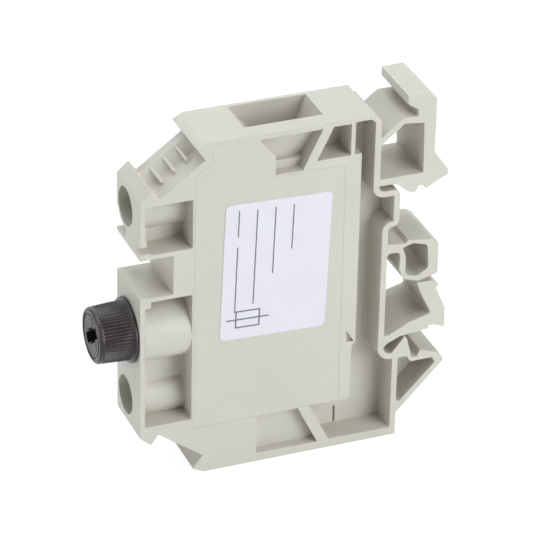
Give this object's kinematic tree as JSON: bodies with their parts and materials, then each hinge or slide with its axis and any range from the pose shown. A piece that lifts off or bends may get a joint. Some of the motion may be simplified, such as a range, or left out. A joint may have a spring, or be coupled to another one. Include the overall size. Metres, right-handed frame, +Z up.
{
  "type": "fuse terminal block",
  "caption": "Rail-mounted fuse terminal block: flat grey housing with a foot that clips to a 35 mm rail, screw clamp wire entries and a knurled screw cap that holds a cartridge fuse.",
  "frame": {"origin": "middle of the rail seat: on the front plane of the rail flange, at mid height and mid width of the block", "axes": "+X from the front face towards the rail, +Y along the rail away from the lid side, +Z up across the rail"},
  "size_m": [0.0652, 0.0121, 0.0694],
  "materials": {
    "grey_polyamide": "moulded polyamide, satin",
    "label_white": "printed film label",
    "black_plastic": "satin moulded",
    "tinned_brass": "tinned",
    "nickel_brass": "nickel plated",
    "tinned_copper": "tinned",
    "spring_bronze": "rolled",
    "copper_alloy": "drawn",
    "spring_steel": "drawn wire",
    "plated_steel": "zinc plated",
    "fuse_glass": "clear"
  },
  "bodies": {
    "block": {"housing": "grey_polyamide", "side_cover": "grey_polyamide", "rating_label": "label_white", "contact_shell": "tinned_brass", "rear_contact_leaf": "spring_bronze", "rear_contact_rivet": "copper_alloy", "upper_current_bar": "tinned_copper", "lower_current_bar": "tinned_copper"},
    "fuse_link": {"fuse_glass_tube": "fuse_glass", "fuse_front_cap": "nickel_brass", "fuse_rear_cap": "nickel_brass", "fuse_wire": "copper_alloy"},
    "screw_cap": {"fuse_cap": "black_plastic", "carrier_sleeve": "tinned_brass", "carrier_spring": "spring_steel"},
    "upper_cage": {"upper_clamp_cage": "plated_steel"},
    "lower_cage": {"lower_clamp_cage": "plated_steel"},
    "upper_screw": {"upper_clamp_screw": "plated_steel"},
    "lower_screw": {"lower_clamp_screw": "plated_steel"}
  },
  "joints": [
    {"name": "carrier_slide", "type": "slide", "parent": "block", "child": "fuse_link", "axis": [-1, 0, 0], "range_m": [0, 0.00375]},
    {"name": "cap_turn", "type": "hinge", "parent": "fuse_link", "child": "screw_cap", "pos_m": [-0.052, 0, -0.00455], "axis": [-1, 0, 0], "range_deg": [0, 900]},
    {"name": "upper_screw_turn", "type": "hinge", "parent": "block", "child": "upper_screw", "pos_m": [-0.0383, 0.0016, 0.01925], "axis": [1, 0, 0], "range_deg": [0, 2880]},
    {"name": "upper_cage_slide", "type": "slide", "parent": "block", "child": "upper_cage", "axis": [-1, 0, 0], "range_m": [0, 0.0056]},
    {"name": "lower_screw_turn", "type": "hinge", "parent": "block", "child": "lower_screw", "pos_m": [-0.0383, 0.0016, -0.01892], "axis": [1, 0, 0], "range_deg": [0, 2880]},
    {"name": "lower_cage_slide", "type": "slide", "parent": "block", "child": "lower_cage", "axis": [-1, 0, 0], "range_m": [0, 0.0056]}
  ],
  "couplings": [
    {"joint": "cap_turn", "follows": "carrier_slide", "rad_per_m": 4188.8},
    {"joint": "upper_screw_turn", "follows": "upper_cage_slide", "rad_per_m": 8976},
    {"joint": "lower_screw_turn", "follows": "lower_cage_slide", "rad_per_m": 8976}
  ]
}
